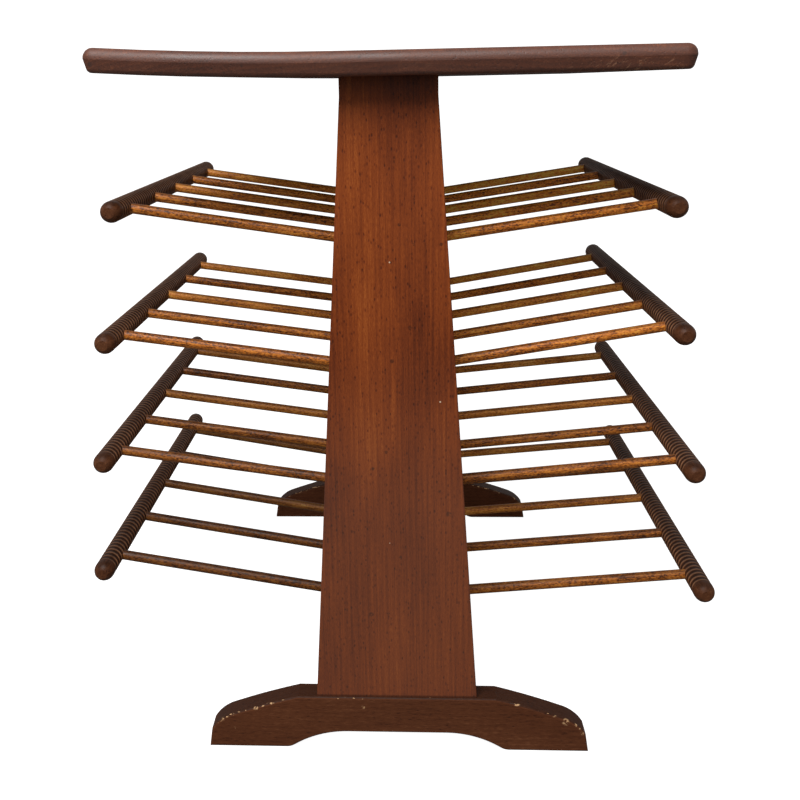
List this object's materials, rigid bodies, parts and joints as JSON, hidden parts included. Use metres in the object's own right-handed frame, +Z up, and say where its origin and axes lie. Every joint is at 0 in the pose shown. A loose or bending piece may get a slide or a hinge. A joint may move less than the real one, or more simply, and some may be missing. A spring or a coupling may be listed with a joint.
{
  "type": "magazine rack table",
  "caption": "Wooden side table on two tapered uprights with arched feet; tilted spindle racks with ribbed outer bars stick out on both sides in tiers to hold magazines.",
  "frame": {"origin": "on the floor, under the middle of the whole table's outline, racks included", "axes": "+Z up from the floor to the tabletop, +X to the right across the table towards the right-hand racks, +Y to the rear along the ribbed bars, so the front upright faces -Y"},
  "size_m": [0.5632, 0.514, 0.6149],
  "materials": {
    "top_wood": "satin",
    "upright_wood": "satin",
    "foot_wood": "satin",
    "bar_wood": "satin",
    "rod_wood": "satin",
    "rail_wood": "satin",
    "batten_wood": "satin",
    "dowel_wood": "satin",
    "screw_steel": "satin"
  },
  "bodies": {
    "root": {"tabletop": "top_wood", "front_foot": "foot_wood", "rear_foot": "foot_wood", "front_upright": "upright_wood", "rear_upright": "upright_wood", "front_top_batten": "batten_wood", "rear_top_batten": "batten_wood", "foot_dowels": "dowel_wood", "batten_to_upright_screws": "screw_steel", "batten_to_top_screws": "screw_steel", "left_rack_1_rail": "rail_wood", "left_rack_1_bar": "bar_wood", "left_rack_1_rods": "rod_wood", "left_rack_2_rail": "rail_wood", "left_rack_2_bar": "bar_wood", "left_rack_2_rods": "rod_wood", "left_rack_3_rail": "rail_wood", "left_rack_3_bar": "bar_wood", "left_rack_3_rods": "rod_wood", "left_rack_4_rail": "rail_wood", "left_rack_4_bar": "bar_wood", "left_rack_4_rods": "rod_wood", "right_rack_1_rail": "rail_wood", "right_rack_1_bar": "bar_wood", "right_rack_1_rods": "rod_wood", "right_rack_2_rail": "rail_wood", "right_rack_2_bar": "bar_wood", "right_rack_2_rods": "rod_wood", "right_rack_3_rail": "rail_wood", "right_rack_3_bar": "bar_wood", "right_rack_3_rods": "rod_wood", "right_rack_4_rail": "rail_wood", "right_rack_4_bar": "bar_wood", "right_rack_4_rods": "rod_wood"}
  },
  "joints": []
}
